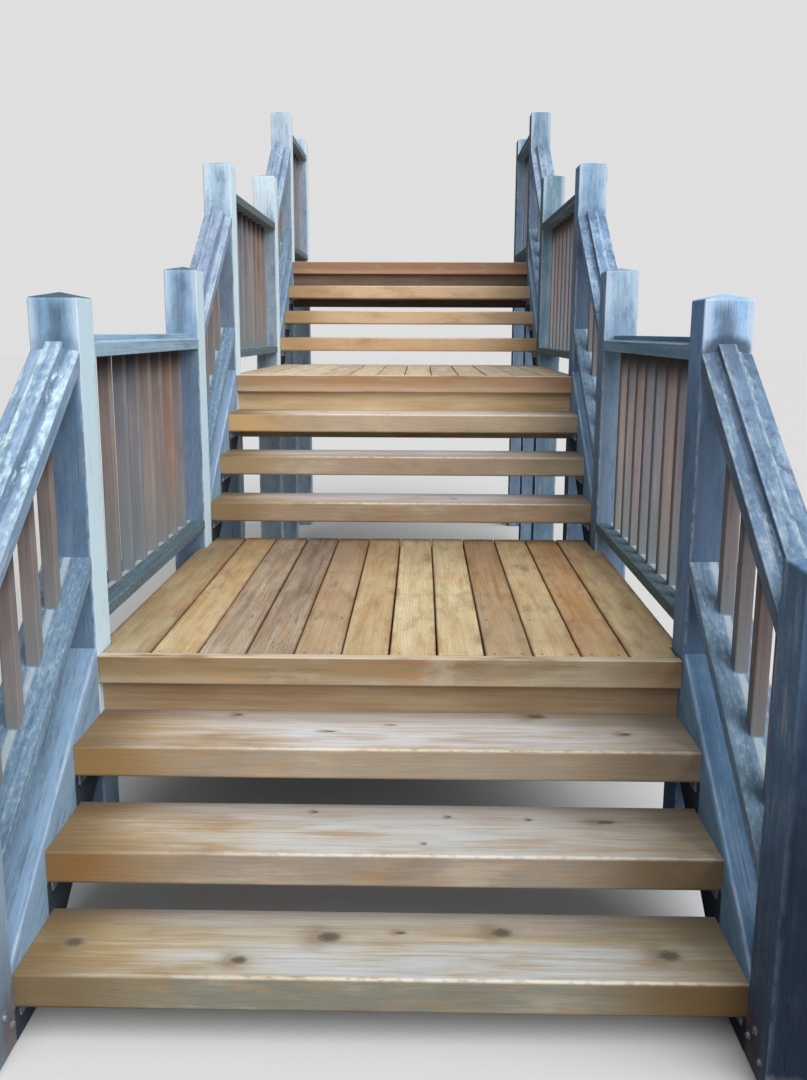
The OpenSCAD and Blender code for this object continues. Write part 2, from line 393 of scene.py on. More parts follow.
def stringer_marks(i):
    """Painted light on the right stringer's inner face, painted shade on the inner faces below each tread,
    and a pale top arris.
    """
    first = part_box(f"flight_{i}_tread_1")
    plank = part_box(f"flight_{i}_stringers")[1]
    top_edge = plank.z - (plank.y - first[0].y) * slope

    def paint(spot, colour):
        x, y, z = split(spot)
        inner = fade(calc("ABSOLUTE", x), clear_half + 0.012, clear_half + 0.004)
        # Painted light: the right stringer's inner face is painted lighter, in soft clouds.
        clouds = figure(slanted(spot), (0.05, 0.1, 0.04), 4.0, 0.65)
        lit = plus(0.5, fade(clouds, 0.35, 0.65), 0.45)
        colour = stain(colour, tone(136, 174, 212), 1.0, lit, inner, on_right(x))
        # Painted shade: the inner faces are painted dark below each tread.
        behind = minus(y, first[0].y)
        step = calc("FLOOR", calc("DIVIDE", behind, run_off))
        under = minus(plus(first[0].z, step, step_up), z)
        colour = stain(colour, tone(44, 44, 48), 0.9, fade(under, -0.004, 0.008), inner)
        beneath = minus(plus(top_edge, behind, slope), z)
        ragged = figure(slanted(spot), (0.02, 0.09, 0.02), 3.0)
        arris = fade(beneath, 0.034, 0.004)
        return stain(colour, tone(206, 216, 228), 0.5, arris, inner, fade(ragged, 0.4, 0.66))
    return paint


stringer_tones = {1: (tone(142, 174, 204), tone(98, 134, 170)),
                  2: (tone(142, 174, 204), tone(112, 146, 180)),
                  3: (tone(130, 160, 190), tone(112, 146, 180))}
for i, middle in stringer_tones.items():
    ease(f"flight_{i}_stringers", 0.006)
    cedar = silvered(f"flight_{i}_stringer_cedar", "y", tone(66, 84, 110), middle, tone(148, 174, 202),
                     0.05, stringer_marks(i), reach=2.0, sloping=True)
    finish_node(f"flight_{i}_stringers", cedar)

# Steel angles. Under both ends of every tread a galvanised angle is screwed to the
# stringer and the tread, with hexagon headed lag screws through each leg. Larger bolts go
# through the first posts near their feet.
galvanised, spot = begin("galvanised_zinc")
spangle = figure(spot, (0.012, 0.012, 0.012), 4.0, 0.6)
zinc = shades(spangle, (0.38, tone(128, 136, 146)), (0.62, tone(190, 198, 206)))
end(galvanised, zinc, spangle, 0.0002, 0.5, 0.5, 0.7)
ease("tread_angles", 0.0012, 2)
finish_node("tread_angles", galvanised)
angle_leg, angle_thick = 0.038, 0.005
angle_long, angle_behind = 0.230, 0.028


def join_rings(mesh, rings):
    """Faces from each ring of points to the next."""
    for near, far in zip(rings, rings[1:]):
        for k in range(len(near)):
            after = (k + 1) % len(near)
            mesh.faces.new((near[k], near[after], far[after], far[k]))


def hexagon_head(mesh, place, out, across=0.011, high=0.005):
    """A lag screw's head on its washer, facing the way that out points."""
    turn = Vector((0, 0, 1)).rotation_difference(Vector(out)).to_matrix().to_4x4()
    seat = Matrix.Translation(place) @ turn
    for radius, base, top, sides in ((across * 0.85, 0.0, 0.0012, 20),
                                     (across / math.sqrt(3), 0.0012, high, 6)):
        rings = []
        for z, r in ((base, radius), (top - 0.0006, radius), (top, radius * 0.9)):
            rings.append([mesh.verts.new(seat @ Vector((r * math.cos(k * math.tau / sides),
                                                         r * math.sin(k * math.tau / sides), z)))
                          for k in range(sides)])
        join_rings(mesh, rings)
        mesh.faces.new(rings[-1])
        mesh.faces.new(list(reversed(rings[0])))


def make_piece(name, mesh, finish, replaced=()):
    """Turns a mesh into a piece of the stairs that takes its finish from a slot."""
    data = bpy.data.meshes.new(name)
    mesh.to_mesh(data)
    mesh.free()
    data.materials.append(finish)
    piece = bpy.data.objects.new(name, data)
    bpy.context.scene.collection.objects.link(piece)
    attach(piece, "root")
    if replaced:
        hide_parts(*replaced)


screws = bmesh.new()
for i in (1, 2, 3):
    for t in (1, 2, 3):
        low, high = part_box(f"flight_{i}_tread_{t}")
        for side in (-1, 1):
            for share in (0.2, 0.8):
                y = low.y + angle_behind + angle_long * share
                hexagon_head(screws, (side * (clear_half - angle_thick), y, low.z - angle_leg * 0.6),
                             (-side, 0, 0))
                hexagon_head(screws, (side * (clear_half - angle_leg * 0.6), y + 0.02, low.z - angle_thick),
                             (0, 0, -1))
make_piece("tread_angle_screws", screws, galvanised)

first_post_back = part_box("flight_1_foot_posts")[1].y
bolts = bmesh.new()
for side in (-1, 1):
    for behind, up in ((0.020, 0.065), (0.060, 0.108), (0.105, 0.060)):
        hexagon_head(bolts, (side * clear_half, first_post_back - behind, up), (-side, 0, 0), 0.014, 0.007)
make_piece("foot_post_bolts", bolts, galvanised)

# Treads. Each is one thick cedar plank between the stringers, with its front corners
# rounded over. Sealed golden brown, scuffed to cream along the front, and greyed round knots.


def cedar_plank(name, low, high, honey, face, haze, browned, knots, seed):
    """A flat sawn plank along X: soft growth rings, knots, darker ends and a worn front. The faces take the
    face tone, darker than the top's honey as painted shade, and the top's rear is painted darker at the
    right and along its last strip, as painted shade under the next tread. Haze is how strongly shoes have
    greyed the top, how far behind the front, over what width and to what tone; browned is how far the front
    face's left and right ends have kept their stain, and its tone."""
    finish, spot = begin(name)
    middle = ((low.x + high.x) / 2, (low.y + high.y) / 2, high.z)
    own = shift("SUBTRACT", spot, middle)
    drift = shift("ADD", own, (seed * 3.7, seed * 1.3, seed * 0.9))
    strength, gone_back, band_width, shoes = haze
    sway = plus(-0.045, figure(drift, (0.7, 0.25, 0.25), 3.0), 0.09)
    wave = plus(-0.011, figure(drift, (0.22, 0.06, 0.06), 2.0), 0.022)
    x, y, z = split(own)
    ring_y = calc("ADD", minus(y, 0.05 * math.sin(seed * 2.1)), sway)
    ring_z = calc("ADD", minus(z, -0.16 - 0.03 * math.cos(seed)), wave)
    radius = hypotenuse(ring_y, ring_z)
    ragged = plus(-0.4, figure(drift, (0.012, 0.009, 0.03), 3.0, 0.6), 0.8)
    knot_masks = []
    for knot_x, knot_y, size, stretch in knots:
        dx = calc("DIVIDE", minus(x, knot_x), size * stretch)
        dy = calc("DIVIDE", minus(y, knot_y), size)
        away = calc("ADD", hypotenuse(dx, dy), ragged)
        knot_masks.append((away, dx))
        radius = plus(radius, fade(away, 4.0, 0.5), 0.018)
    ring = calc("FRACT", calc("DIVIDE", radius, 0.0105))
    late = calc("MULTIPLY", fade(ring, 0.45, 0.93), fade(ring, 1.0, 0.94))
    streak = figure(drift, (0.5, 0.02, 0.05), 4.0, 0.55, 0.3)
    cloud = figure(drift, (0.3, 0.09, 0.12), 4.0, 0.55)
    fibre = figure(drift, (0.07, 0.0022, 0.004), 3.0, 0.6)
    mixed = mixture((streak, 0.3), (cloud, 0.55), (fibre, 0.15))
    top = fade(facing(spot), 0.3, 0.9)
    # The faces keep the face tone, darker than the top's, as painted shade.
    colour = stain(face, honey, top)
    colour = stain(colour, UMBER, 0.42, fade(mixed, 0.5, 0.36))
    colour = stain(colour, STRAW, 0.35, fade(mixed, 0.5, 0.64))
    colour = stain(colour, UMBER, 0.07, late)
    left_end = fade(plus(x, cloud, 0.5), -0.1, -0.66)
    patch = fade(figure(drift, (0.16, 0.05, 0.06), 4.0, 0.6), 0.5, 0.66)
    colour = stain(colour, AMBER, 0.3, patch)
    colour = stain(colour, tone(158, 132, 90), 0.7, left_end)
    behind = minus(y, low.y - middle[1])
    worn = fade(calc("ABSOLUTE", plus(minus(x, 0.46), cloud, 0.6)), 0.9, 0.28)
    band = apart(plus(behind, cloud, 0.16), gone_back + 0.08)
    patchy = fade(mixture((streak, 0.5), (cloud, 0.5)), 0.4, 0.56)
    scuffed = share_of(strength, worn, plus(0.4, patchy, 0.6), fade(band, band_width, 0.3 * band_width))
    colour = stain(colour, shoes, scuffed, top)
    broad = figure(drift, (0.4, 0.03, 0.06), 3.0, 0.55, 0.8)
    colour = stain(colour, tone(166, 134, 86), 0.4, fade(broad, 0.5, 0.64), top)
    colour = stain(colour, tone(214, 214, 208), 0.25, fade(broad, 0.46, 0.34), top)
    lines = figure(drift, (0.22, 0.007, 0.05), 4.0, 0.6, 0.4)
    colour = stain(colour, tone(142, 116, 76), 0.26, fade(lines, 0.5, 0.66), top)
    colour = stain(colour, tone(222, 216, 200), 0.2, fade(lines, 0.48, 0.34), top)
    right_end = fade(plus(x, cloud, 0.4), 0.62, 1.0)
    colour = stain(colour, OLIVE, 0.2, right_end)
    ends = fade(plus(calc("ABSOLUTE", x), cloud, 0.14), clear_half - 0.16, clear_half + 0.05)
    right = on_right(x)
    darker = sided(right, (0.65, 0.24))
    colour = stain(colour, tone(116, 92, 58), 1.0, ends, darker, top)
    colour = stain(colour, tone(120, 96, 62), 0.45, left_end, fade(behind, 0.1, 0.02), top)
    outer = plus(calc("ABSOLUTE", x), right, 0.06)
    sides = fade(plus(outer, cloud, 0.3), 0.62, 0.95)
    kept = sided(right, browned[:2])
    umbered = stain(browned[2], tone(108, 86, 56), right)
    colour = stain(colour, umbered, 1.0, kept, sides, minus(1.0, top))
    colour = stain(colour, tone(116, 92, 62), 0.75, left_end, fade(behind, 0.16, 0.26), top)
    calm = fade(calc("ABSOLUTE", x), 0.8, 0.4)
    rear = fade(plus(behind, cloud, 0.1), 0.19, 0.29)
    colour = stain(colour, tone(160, 168, 182), 0.36, rear, calm, top)
    # Painted shade under the next tread: the rear darker at the right, and along the last strip.
    rear_right_shade = fade(plus(behind, cloud, 0.1), 0.16, 0.26)
    colour = stain(colour, tone(104, 94, 82), 0.38, rear_right_shade, fade(x, 0.38, 0.62), top)
    last_strip_shade = fade(plus(behind, cloud, 0.06), 0.265, 0.32)
    colour = stain(colour, tone(118, 116, 118), 0.45, last_strip_shade, top)
    arris = calc("ABSOLUTE", plus(minus(behind, 0.009), cloud, 0.006))
    nicks = figure(drift, (0.035, 0.02, 0.02), 3.0, 0.6)
    edge = share_of(0.65, fade(arris, 0.008, 0.001), fade(nicks, 0.38, 0.52), worn, fade(z, -0.008, -0.002))
    colour = stain(colour, tone(228, 218, 202), edge)
    relief = mixture((fibre, 0.5), (late, 0.15), (streak, 0.6))
    for away, dx in knot_masks:
        colour = stain(colour, tone(146, 142, 124), 0.4, fade(away, 2.4, 1.0), top)
        colour = stain(colour, UMBER, 0.45, fade(away, 3.6, 1.1), fade(dx, 0.3, -1.4), top)
        heart = calc("MULTIPLY", fade(away, 1.3, 0.5), top)
        eye = shades(calc("MULTIPLY", away, 0.8), (0.0, tone(96, 94, 88)), (0.2, tone(84, 80, 72)),
                     (0.45, tone(98, 92, 78)), (0.8, tone(104, 90, 66)))
        colour = stain(colour, eye, 0.9, heart)
        relief = minus(relief, share_of(0.8, heart))
    return end(finish, colour, relief, 0.0012, 0.3, 0.7)


STRAW, HAZE, OLIVE = tone(214, 200, 174), tone(192, 200, 206), tone(140, 132, 108)
AMBER, UMBER = tone(184, 146, 98), tone(124, 94, 64)
# Each tread: the top's tone, the face tone (darker, as painted shade), the haze and the browned ends.
tread_tones = {
    (1, 1): (tone(184, 168, 136), tone(132, 131, 118), (0.86, 0.07, 0.13, HAZE),
             (0.85, 1.0, tone(116, 98, 70))),
    (1, 2): (tone(194, 174, 146), tone(152, 140, 126), (0.85, 0.10, 0.20, tone(200, 206, 210)),
             (0.85, 0.8, tone(132, 94, 48))),
    (1, 3): (tone(196, 178, 156), tone(162, 147, 129), (0.88, 0.12, 0.14, tone(216, 220, 226)),
             (0.8, 0.45, tone(146, 112, 66))),
    (2, 1): (tone(186, 170, 161), tone(158, 137, 115), (0.75, 0.24, 0.20, tone(206, 204, 214)),
             (0.7, 0.0, tone(122, 98, 66))),
    (2, 3): (tone(232, 216, 202), tone(182, 163, 138), (0.5, 0.2, 0.2, HAZE),
             (0.8, 0.0, tone(212, 170, 116))),
    (3, 1): (tone(206, 174, 138), tone(202, 168, 133), (0.2, 0.1, 0.3, HAZE),
             (0.2, 0.2, tone(180, 130, 80))),
}
flight_tones = {2: (tone(181, 165, 154), tone(162, 145, 126), (0.75, 0.24, 0.20, tone(206, 204, 214)),
                    (0.3, 0.0, tone(160, 130, 90))),
                3: (tone(212, 184, 152), tone(209, 180, 148), (0.2, 0.1, 0.3, HAZE),
                    (0.2, 0.2, tone(180, 130, 80)))}
knot_places = {
    (1, 1): [(-0.763, -0.007, 0.020, 1.3), (-0.131, 0.029, 0.024, 1.3), (0.303, 0.058, 0.021, 1.3),
             (-0.341, -0.072, 0.016, 1.3), (0.705, -0.031, 0.023, 1.3), (0.048, 0.052, 0.007, 1.8)],
    (1, 2): [(-0.196, 0.097, 0.007, 1.2), (0.174, 0.075, 0.006, 1.2), (0.394, 0.064, 0.006, 1.2),
             (0.107, -0.077, 0.005, 1.1), (0.600, 0.055, 0.012, 2.2)],
    (1, 3): [(0.440, 0.119, 0.020, 1.5), (0.683, -0.015, 0.010, 1.5), (-0.166, -0.013, 0.006, 3.0),
             (0.012, 0.04, 0.004, 3.0), (-0.45, 0.11, 0.010, 1.3)],
    (2, 1): [(0.25, 0.0, 0.008, 1.3)], (2, 3): [(-0.4, 0.02, 0.009, 1.3)], (3, 2): [(0.1, 0.0, 0.009, 1.3)],
}
for i in (1, 2, 3):
    for t in (1, 2, 3):
        plank = f"flight_{i}_tread_{t}"
        honey, face, haze, browned = tread_tones.get((i, t)) or flight_tones[i]
        ease(plank, 0.003, 2)
        finish_node(plank, cedar_plank(plank + "_cedar", *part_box(plank), honey, face, haze, browned,
                                       knot_places.get((i, t), []), 3 * i + t))

# Deck boards. Twelve boards lie front to back on each landing, nailed to every joist,
# with a few millimetres between them. The outer boards are wider between the posts, and run
# out under the lower rails. Each board has its own colour, and walking has rounded the arrises.
deck_boards = 12
board_w = 0.140
boards_apart = (2 * clear_half - deck_boards * board_w) / (deck_boards + 1)
joist_t, joists_apart = 0.038, 0.406
notch_play, parts_along, too_near = 0.0003, 14, 0.01
# Boards are numbered on from 20, 40 and 60 on the three landings; 22 and 23 have the most checks.
numbers_apart, oldest_boards = 20, 22.5
board_tones = {
    "honey": (tone(212, 188, 146), tone(188, 156, 108)), "tan": (tone(192, 168, 136), tone(166, 136, 102)),
    "smoke": (tone(182, 164, 142), tone(124, 104, 88)), "ash": (tone(196, 178, 154), tone(140, 118, 98)),
    "straw": (tone(234, 218, 176), tone(208, 180, 132)), "nut": (tone(200, 174, 138), tone(170, 136, 98)),
    "olive": (tone(188, 170, 134), tone(160, 136, 98)), "rust": (tone(218, 182, 134), tone(196, 148, 98)),
    "fern": (tone(232, 208, 164), tone(204, 174, 126)),
}
# On the first landing the pale fern and rust tones at the right are painted light against the right
# railing's shade.
tones_laid = ["olive", "honey", "ash", "smoke", "tan", "honey",
              "straw", "straw", "nut", "fern", "rust", "fern"]
# Haze and arris dirt of each landing; the second landing's high haze is a painted sheen as well as scuffs.
deck_scuffs_and_sheen = {1: (0.2, 0.45), 2: (0.75, 0.08), 3: (0.3, 0.1)}


def deck_cedar(name, joist_rows, haze, dirt):
    """Walked on deck boards: one finish whose colours come from each board's own tones. Haze is how far
    scuffs and, on the second landing, a painted sheen have paled the boards, and how little their rear is
    darkened; dirt is how dark their arrises are."""
    finish, spot = begin(name)
    tree = finish.node_tree
    number = add(tree, "Attribute", out=2, attribute_name="board")
    brink = add(tree, "Attribute", out=2, attribute_name="brink")
    pale = add(tree, "Attribute", attribute_name="pale")
    deep = add(tree, "Attribute", attribute_name="deep")
    drift = shift("ADD", spot, shift("MULTIPLY", number, (0.37, 4.3, 1.9)))
    streak = figure(drift, (0.012, 0.5, 0.05), 5.0, 0.6, 0.4)
    cloud = figure(drift, (0.07, 0.5, 0.2), 3.0, 0.5)
    fibre = figure(drift, (0.0022, 0.08, 0.01), 3.0, 0.6)
    sway = plus(-0.05, figure(drift, (0.2, 0.9, 0.2), 3.0), 0.1)
    x = split(drift)[0]
    ring = calc("FRACT", calc("DIVIDE", calc("ADD", x, sway), 0.009))
    late = calc("MULTIPLY", fade(ring, 0.4, 0.9), fade(ring, 1.0, 0.93))
    mixed = mixture((streak, 0.4), (cloud, 0.47), (fibre, 0.13))
    colour = stain(deep, pale, fade(mixed, 0.34, 0.6))
    colour = stain(colour, deep, 0.16, late)
    rusty = figure(drift, (0.045, 0.2, 0.1), 4.0, 0.6)
    colour = stain(colour, tone(182, 128, 72), 0.42, fade(rusty, 0.46, 0.7))
    smudge = figure(drift, (0.06, 0.2, 0.1), 4.0, 0.6)
    colour = stain(colour, tone(112, 90, 66), 0.4, fade(smudge, 0.5, 0.74))
    worn_pale = figure(drift, (0.06, 0.2, 0.2), 3.0, 0.5)
    # Scuffs pale the tops; on the second landing this is also a painted sheen.
    scuffed = plus(0.8 * haze - 0.16, fade(worn_pale, 0.5, 0.75), haze)
    scuffed = calc("MAXIMUM", share_of(1.0, scuffed, fade(facing(spot), 0.3, 0.9)), 0.0)
    colour = stain(colour, tone(216, 206, 188), scuffed)
    check = figure(drift, (0.009, 0.5, 0.05), 2.0, 0.4)
    crack = fade(apart(check, 0.5), 0.018, 0.004)
    aged = plus(0.15, fade(apart(number, oldest_boards), 0.8, 0.6), 0.6)
    colour = stain(colour, tone(72, 58, 50), aged, crack, fade(cloud, 0.42, 0.56))
    spots = figure(drift, (0.012, 0.03, 0.02), 2.0, 0.4)
    colour = stain(colour, tone(110, 86, 62), 0.5, fade(spots, 0.72, 0.78))
    y = split(spot)[1]
    behind = plus(minus(y, joist_rows[0]), cloud, 0.5)
    colour = stain(colour, tone(194, 190, 188), 1 - haze, fade(behind, 1.1, 1.8), how="MULTIPLY")
    colour = stain(colour, tone(230, 216, 186), 0.1, fade(behind, 0.8, 0.35))
    rows = apart(y, joist_rows[0])
    for row in joist_rows[1:]:
        rows = calc("MINIMUM", rows, apart(y, row))
    colour = stain(colour, tone(110, 92, 74), 0.1, fade(rows, 0.05, 0.005), fade(fibre, 0.45, 0.6))
    colour = stain(colour, tone(156, 104, 60), 0.3, fade(brink, 0.7, 0.95), fade(rusty, 0.42, 0.58))
    colour = stain(colour, tone(96, 68, 44), dirt, fade(brink, 0.9, 1.0))
    relief = mixture((fibre, 0.7), (streak, 0.6), (late, 0.6))
    return end(finish, colour, relief, 0.0012, 0.3, 0.75)


def lay_board(mesh, layers, number, tones, spans, bottom, top, dice):
    """One board along Y, with a crowned top and round arrises. Each span is (y, left, right). Its
    points keep the board's number, its pale and deep tone, and how near they are to an arris."""
    radius, crown = 0.0045, dice.uniform(0.0002, 0.0012)
    lift, lean = dice.uniform(-0.0012, 0.0), dice.uniform(-0.0006, 0.0006)
    rings = []
    for y, left, right in spans:
        wander = 0.0006 * math.sin(3.1 * y + number)
        shape = [(left + 0.001, bottom), (right - 0.001, bottom), (right, bottom + 0.001)]
        for k in range(5):
            a = k * math.pi / 8
            shape.append((right - radius + radius * math.cos(a), top - radius + radius * math.sin(a)))
        for k in (0.75, 0.5, 0.25):
            shape.append((left + (right - left) * k, top))
        for k in range(4, -1, -1):
            a = k * math.pi / 8
            shape.append((left + radius - radius * math.cos(a), top - radius + radius * math.sin(a)))
        shape.append((left, bottom + 0.001))
        ring = []
        for x, z in shape:
            share = (x - left) / (right - left)
            if z > bottom + 0.01:
                z += lift - crown * (2 * share - 1) ** 2 + lean * (share - 0.5)
            vert = mesh.verts.new((x + wander, y, z))
            vert[layers[0]], vert[layers[3]] = number, abs(2 * share - 1)
            vert[layers[1]], vert[layers[2]] = tones
            ring.append(vert)
        rings.append(ring)
    join_rings(mesh, rings)
    mesh.faces.new(list(reversed(rings[0])))
    mesh.faces.new(rings[-1])


def nail_head(mesh, x, y, z):
    """A round nail head, set almost flush and slightly domed."""
    sides, radius = 10, 0.0042
    rings = [[mesh.verts.new((x + radius * r * math.cos(k * math.tau / sides),
                              y + radius * r * math.sin(k * math.tau / sides), z + dz))
              for k in range(sides)] for r, dz in ((1.0, -0.0006), (0.9, 0.0002), (0.5, 0.0006))]
    join_rings(mesh, rings)
    mesh.faces.new(rings[-1])


dulled, spot = begin("dulled_nail_steel")
tarnish = figure(spot, (0.004, 0.004, 0.004), 2.0)
steel = shades(tarnish, (0.35, tone(52, 46, 42)), (0.65, tone(96, 90, 86)))
end(dulled, steel, tarnish, 0.0002, 0.5, 0.6, 0.6)

for i in (1, 2, 3):
    low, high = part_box(f"landing_{i}_deck")
    frame_low, frame_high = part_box(f"landing_{i}_frame")
    head_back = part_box(f"flight_{i}_head_posts")[1].y
    rear_front = (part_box(f"flight_{i + 1}_foot_posts") if i < 3 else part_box("rear_posts"))[0].y
    frame_long = frame_high.y - frame_low.y
    joists = math.ceil(frame_long / joists_apart)
    rows = [low.y + joist_t / 2] + [frame_low.y + k * (frame_long - joist_t) / joists + joist_t / 2
                                    for k in range(1, joists + 1)]
    dice = random.Random(40 + i)
    mesh = bmesh.new()
    layers = (mesh.verts.layers.float.new("board"), mesh.verts.layers.float_color.new("pale"),
              mesh.verts.layers.float_color.new("deep"), mesh.verts.layers.float.new("brink"))
    nails = bmesh.new()
    for b in range(deck_boards):
        left = -clear_half + boards_apart + b * (board_w + boards_apart) + dice.uniform(-0.0007, 0.0007)
        right = left + board_w + dice.uniform(-0.0015, 0.0007)
        ys = [low.y + k * (high.y - low.y) / parts_along for k in range(parts_along + 1)]
        spans = [(y, left, right) for y in ys]
        if b in (0, deck_boards - 1):
            out_left, out_right = (low.x, right) if b == 0 else (left, high.x)
            begins, ends = head_back + notch_play, rear_front - notch_play
            spans = [(y, left, right) for y in ys if y < begins - too_near]
            spans += [(begins, left, right), (begins, out_left, out_right)]
            spans += [(y, out_left, out_right) for y in ys if begins + too_near < y < ends - too_near]
            spans += [(ends, out_left, out_right), (ends, left, right)]
            spans += [(y, left, right) for y in ys if y > ends + too_near]
        pale, deep = board_tones[tones_laid[(b + 5 * (i - 1)) % deck_boards]]
        lay_board(mesh, layers, b + numbers_apart * i, (pale, deep), spans, low.z, high.z, dice)
        for row in rows:
            for share in (0.2, 0.8):
                nail_head(nails, left + (right - left) * share + dice.uniform(-0.004, 0.004),
                          row + dice.uniform(-0.005, 0.005), high.z - 0.0012)
    cedar = deck_cedar(f"landing_{i}_deck_cedar", rows, *deck_scuffs_and_sheen[i])
    make_piece(f"landing_{i}_deck_boards", mesh, cedar, [f"landing_{i}_deck"])
    make_piece(f"landing_{i}_deck_nails", nails, dulled)

# Edge boards. A board on edge closes the front of each landing, level with the deck, and covers the ends of
# the deck boards. Shoes have worn its top pale; on the second landing its pale top is a painted sheen as
# well.


def edge_cedar(name, honey, deep, pale, green):
    """Smooth brown cedar, darker above and rubbed paler below; green is the strength of a chalky and a
    mossy patch, and the mossy patch, real green, is also spread pale over the right part as painted light."""
    finish, spot = begin(name)
    streak = figure(spot, (0.6, 0.014, 0.014), 4.0, 0.55, 0.3)
    cloud = figure(spot, (0.35, 0.06, 0.06), 3.0, 0.55)
    fibre = figure(spot, (0.1, 0.0022, 0.0022), 3.0, 0.6)
    mixed = mixture((streak, 0.3), (cloud, 0.5), (fibre, 0.2))
    colour = stain(honey, deep, 0.8, fade(mixed, 0.52, 0.38))
    rusty = figure(spot, (0.16, 0.035, 0.035), 4.0, 0.6)
    colour = stain(colour, tone(184, 132, 82), 0.5, fade(rusty, 0.5, 0.66))
    colour = stain(colour, tone(186, 172, 146), 0.3, fade(rusty, 0.46, 0.34))
    low = minus(split(spot)[2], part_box(name.replace("cedar", "board"))[0].z)
    rubbed = fade(plus(low, cloud, 0.05), 0.075, 0.04)
    colour = stain(colour, pale, 0.16, rubbed)
    colour = stain(colour, deep, 0.4, minus(1.0, rubbed))
    if green:
        along = plus(split(spot)[0], figure(spot, (0.1, 0.05, 0.05), 4.0, 0.6), 0.24)
        chalky = fade(apart(along, 0.26), 0.06, 0.0)
        colour = stain(colour, tone(192, 186, 168), 0.8 * green, chalky)
        # Real green, spread wide over the right part as painted light.
        mossy = fade(apart(along, 0.6), 0.36, 0.06)
        streaky = plus(0.3, fade(mixed, 0.42, 0.56), 0.7)
        colour = stain(colour, tone(184, 180, 158), 1.1 * green, mossy, streaky)
    # Pale top: worn by shoes, and on the second landing also a painted sheen.
    top = fade(facing(spot), 0.2, 0.8)
    colour = stain(colour, pale, 0.9, top, fade(cloud, 0.3, 0.5))
    return end(finish, colour, mixture((fibre, 0.5), (streak, 1.0)), 0.001, 0.3, 0.75)


edge_shades = {1: (tone(161, 138, 106), tone(130, 105, 74), tone(212, 196, 174), 0.5),
               2: (tone(180, 148, 117), tone(152, 119, 90), tone(218, 208, 194), 0.0),
               3: (tone(166, 130, 106), tone(139, 103, 79), tone(206, 176, 150), 0.0)}
for i, tones in edge_shades.items():
    ease(f"landing_{i}_edge_board", 0.005)
    finish_node(f"landing_{i}_edge_board", edge_cedar(f"landing_{i}_edge_cedar", *tones))

# Handrails. A moulded rail with falling shoulders and a raised middle is let in between
# the posts at each landing, and slopes with the stairs beside each flight.


def rail_marks(name, flaky, spotted):
    """Painted shade in the groove beside the raised middle, soft dark spots, flaky pale growth, paler lines
    on the arrises as painted highlights and, on a slope, a dark upper end. Flaky and spotted are how strong
    the growth and the spots are, left and right."""
    top_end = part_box(name)[1].z

    def paint(spot, colour):
        sloping = name.startswith("flight")
        laid = slanted(spot) if sloping else spot
        x, _, z = split(spot)
        right = on_right(x)
        x = calc("ABSOLUTE", x)
        upward = fade(facing(spot), 0.15, 0.5)
        flakes = figure(laid, (0.016, 0.045, 0.016), 5.0, 0.7)
        broad = figure(laid, (0.05, 0.35, 0.05), 2.0)
        dabs = figure(laid, (0.03, 0.045, 0.03), 3.0, 0.6)
        # Painted shade in the groove beside the raised middle.
        groove = apart(x, post_line - 0.031)
        colour = stain(colour, tone(66, 78, 96), 0.6, fade(groove, 0.014, 0.002), upward)
        colour = stain(colour, tone(66, 86, 118), sided(right, spotted), fade(dabs, 0.5, 0.68), upward)
        if sloping:
            ending = fade(minus(top_end, z), 0.12, 0.02)
            colour = stain(colour, SMOKE, 0.5, ending, right)
        else:
            colour = stain(colour, tone(58, 78, 86), 0.6, right, upward)
        crumbs = mixture((broad, 0.45), (flakes, 0.55))
        for arris in (clear_half + 0.010, post_line - 0.014, post_line + 0.021):
            near = plus(crumbs, fade(apart(x, arris), 0.022, 0.002), 0.09)
            growth = sided(right, flaky)
            colour = stain(colour, tone(206, 230, 234), 0.6, growth, upward, fade(near, 0.52, 0.68))
        # Painted highlights: paler lines along the arrises.
        for arris in (clear_half + 0.003, post_line - 0.021, post_line + 0.021):
            rubbed = fade(apart(x, arris), 0.005, 0.001)
            colour = stain(colour, tone(196, 214, 226), 0.35, rubbed, upward, fade(flakes, 0.3, 0.6))
        return colour
    return paint


rail_tones = {"flight_1": (tone(132, 162, 192), tone(106, 134, 162)),
              "flight_2": (tone(144, 164, 194), tone(112, 146, 182)),
              "flight_3": (tone(136, 160, 190), tone(136, 160, 190)),
              "landing_1": (tone(158, 192, 216), tone(132, 176, 212)),
              "landing_2": (tone(100, 116, 122), tone(92, 110, 126)),
              "landing_3": (tone(116, 134, 146), tone(112, 136, 158))}
rail_flakes = {"flight_1": (1.0, 0.3), "flight_2": (0.35, 0.3), "flight_3": (0.3, 0.3)}
for name, tones in rail_tones.items():
    node = name + "_handrails"
    on_slope = name.startswith("flight")
    ease(node, 0.003)
    marks = rail_marks(node, rail_flakes.get(name, (0.3, 0.2)), (0.25, 0.6) if on_slope else (0.0, 0.1))
    cedar = silvered(name + "_handrail_cedar", "y", tone(84, 98, 124), tones, tone(200, 212, 228), 0.05,
                     marks, 1.5 if on_slope else 6.0, on_slope)
    finish_node(node, cedar)

# Balusters and lower rails. Square cedar balusters stand between the handrail and a flat
# lower rail. They have stayed brown behind the rails and green grey near their feet.
baluster_w, widest_gap, lower_rail_t = 0.038, 0.130, 0.038


